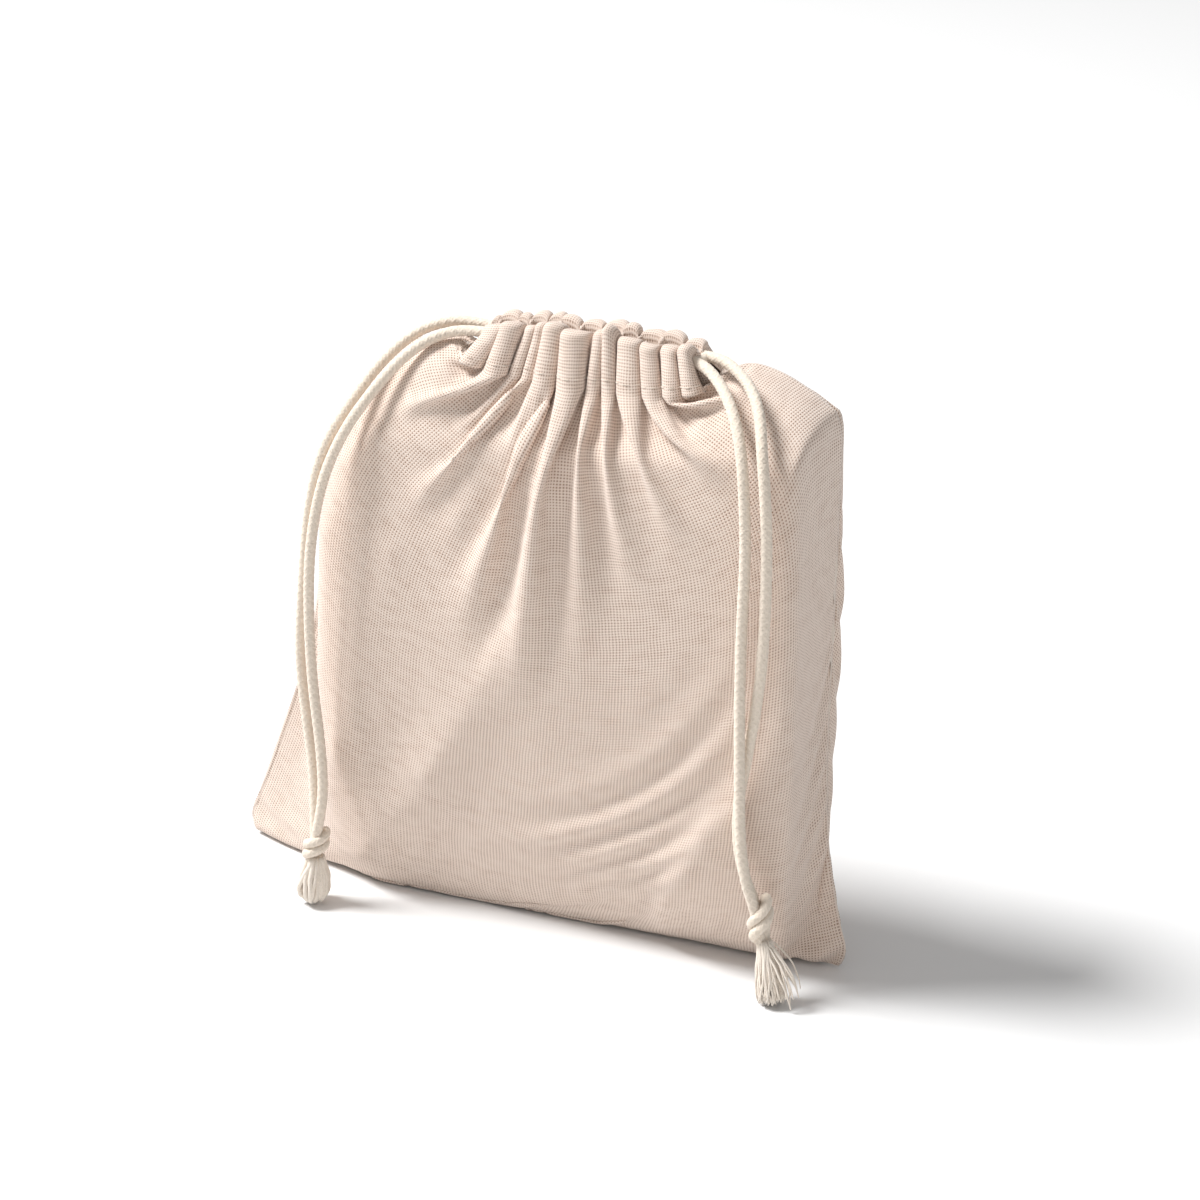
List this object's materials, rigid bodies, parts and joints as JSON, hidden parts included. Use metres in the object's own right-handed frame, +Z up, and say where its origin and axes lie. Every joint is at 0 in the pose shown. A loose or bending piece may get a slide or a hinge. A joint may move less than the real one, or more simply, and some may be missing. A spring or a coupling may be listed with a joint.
{
  "type": "drawstring knitting bag",
  "caption": "Small cotton drawstring pouch for yarn and knitting tools, standing full, with gathered neck and knotted tasselled cords on both sides.",
  "frame": {"origin": "on the surface it stands on, under the middle of the cloth's bounding box", "axes": "+X to the bag's right as seen from its front, -Y the front with both cord tassels, +Z up"},
  "size_m": [0.1952, 0.0533, 0.1765],
  "materials": {
    "cotton_cloth": "unbleached open plain weave",
    "seam_allowance": "overlocked raw edges",
    "sewing_thread": "spun cotton thread",
    "cotton_cord": "soft braided cord",
    "frayed_cotton": "frayed yarn ends"
  },
  "bodies": {
    "pouch": {"front_panel": "cotton_cloth", "back_panel": "cotton_cloth", "bottom_seam": "seam_allowance", "left_side_seam": "seam_allowance", "right_side_seam": "seam_allowance", "left_slit_bartack": "sewing_thread", "right_slit_bartack": "sewing_thread", "left_cord_run": "cotton_cord", "right_cord_run": "cotton_cord"},
    "front_lip": {"front_casing": "cotton_cloth", "front_casing_stitching": "sewing_thread"},
    "back_lip": {"back_casing": "cotton_cloth", "back_casing_stitching": "sewing_thread"},
    "left_cord": {"left_cord_ends": "cotton_cord"},
    "right_cord": {"right_cord_ends": "cotton_cord"},
    "left_tails": {"left_tail_outer": "cotton_cord", "left_tail_inner": "cotton_cord", "left_knot": "cotton_cord", "left_tassel": "frayed_cotton"},
    "right_tails": {"right_tail_outer": "cotton_cord", "right_tail_inner": "cotton_cord", "right_knot": "cotton_cord", "right_tassel": "frayed_cotton"}
  },
  "joints": [
    {"name": "mouth_front", "type": "hinge", "parent": "pouch", "child": "front_lip", "pos_m": [0.019, -0.0061, 0.1651], "axis": [1, 0, 0], "range_deg": [0, 15]},
    {"name": "mouth_back", "type": "hinge", "parent": "pouch", "child": "back_lip", "pos_m": [0.019, 0.0061, 0.1651], "axis": [-1, 0, 0], "range_deg": [0, 15]},
    {"name": "left_cord_pull", "type": "slide", "parent": "pouch", "child": "left_cord", "axis": [-1, 0, 0], "range_m": [0, 0.012]},
    {"name": "right_cord_pull", "type": "slide", "parent": "pouch", "child": "right_cord", "axis": [1, 0, 0], "range_m": [0, 0.012]},
    {"name": "left_tails_swing", "type": "hinge", "parent": "left_cord", "child": "left_tails", "pos_m": [-0.0163, 0.002, 0.1724], "axis": [-1, 0, 0], "range_deg": [0, 60]},
    {"name": "right_tails_swing", "type": "hinge", "parent": "right_cord", "child": "right_tails", "pos_m": [0.0543, 0.002, 0.1684], "axis": [-1, 0, 0], "range_deg": [0, 60]}
  ]
}
